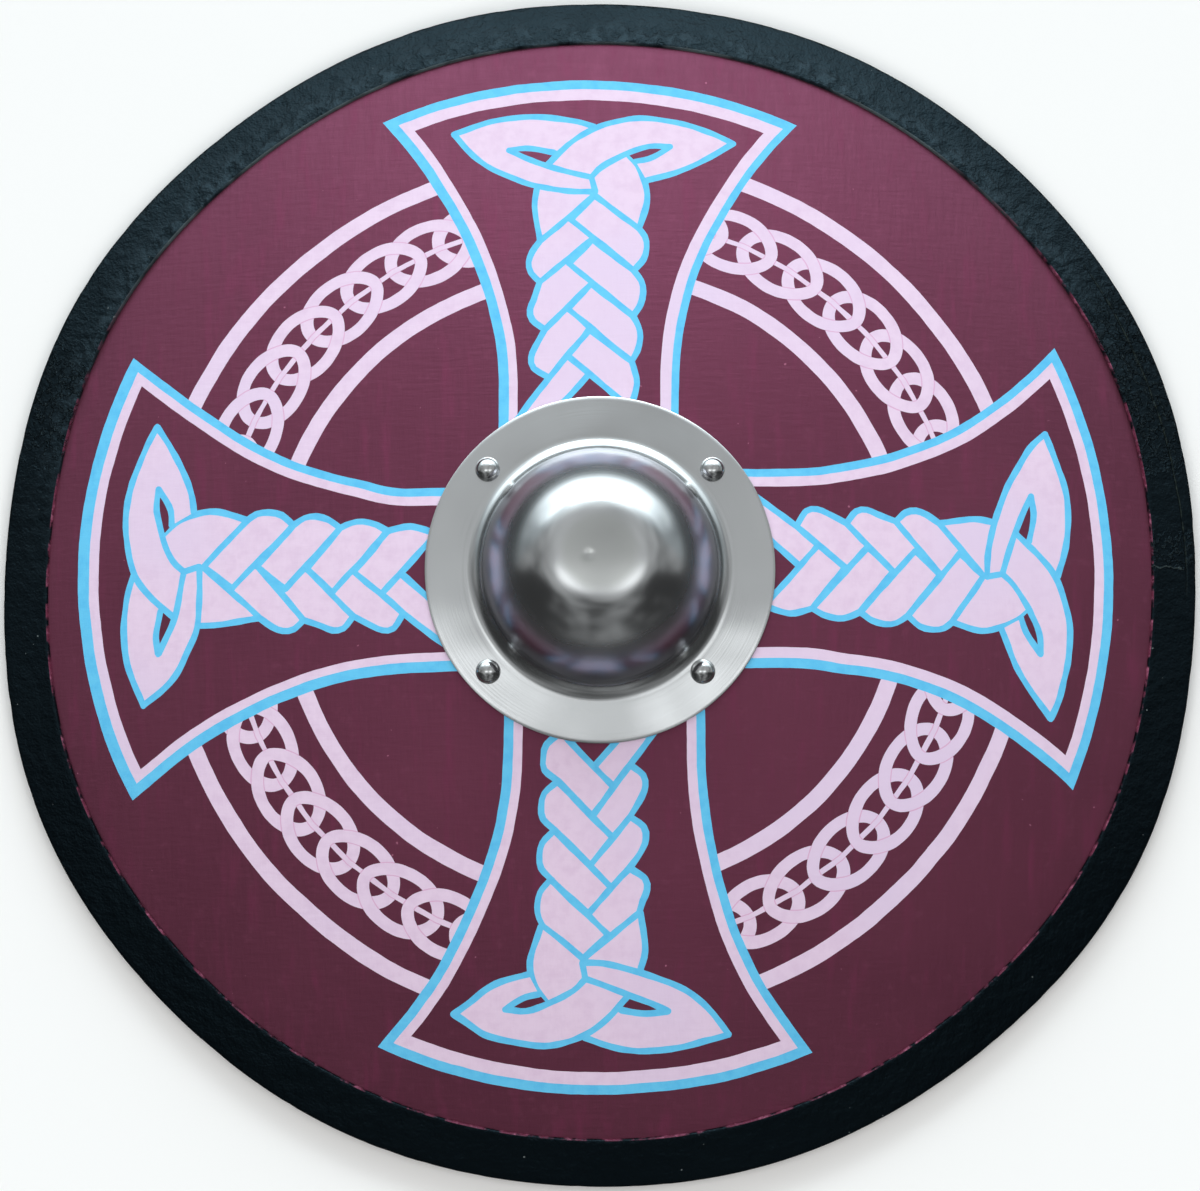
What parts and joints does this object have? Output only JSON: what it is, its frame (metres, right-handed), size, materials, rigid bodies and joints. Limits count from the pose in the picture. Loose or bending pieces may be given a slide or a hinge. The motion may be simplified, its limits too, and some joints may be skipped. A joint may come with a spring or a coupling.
{
  "type": "round shield",
  "caption": "Domed wooden round shield with a painted canvas face, black leather rim, riveted steel boss and a wooden grip behind, lying face up.",
  "frame": {"origin": "on the surface the shield lies on, under the middle of the dome, at the centre of the bottom of its bounding box", "axes": "+Z along the dome axis, out of the painted face; +Y towards the top of the shield; +X to the right for someone facing its front"},
  "size_m": [0.6054, 0.6068, 0.1392],
  "materials": {
    "board_wood": "bare laminated wood under a thin coat of oil",
    "painted_canvas": "claret satin paint on fine canvas, with a pink and sky-blue painted ringed cross",
    "rim_leather": "black painted leather, satin, a little wrinkled",
    "boss_steel": "spun steel, satin flange and brighter dome",
    "rivet_steel": "bright polished",
    "fixing_steel": "dull zinc",
    "grip_wood": "planed ash, oiled"
  },
  "bodies": {
    "root": {"board": "board_wood", "canvas_facing": "painted_canvas", "leather_rim": "rim_leather", "boss": "boss_steel", "boss_rivet_1": "rivet_steel", "boss_rivet_2": "rivet_steel", "boss_rivet_3": "rivet_steel", "boss_rivet_4": "rivet_steel", "rivet_washer_1": "fixing_steel", "rivet_washer_2": "fixing_steel", "rivet_washer_3": "fixing_steel", "rivet_washer_4": "fixing_steel", "hand_grip": "grip_wood", "grip_screw_1": "fixing_steel", "grip_screw_2": "fixing_steel", "grip_screw_3": "fixing_steel", "grip_screw_4": "fixing_steel"}
  },
  "joints": []
}
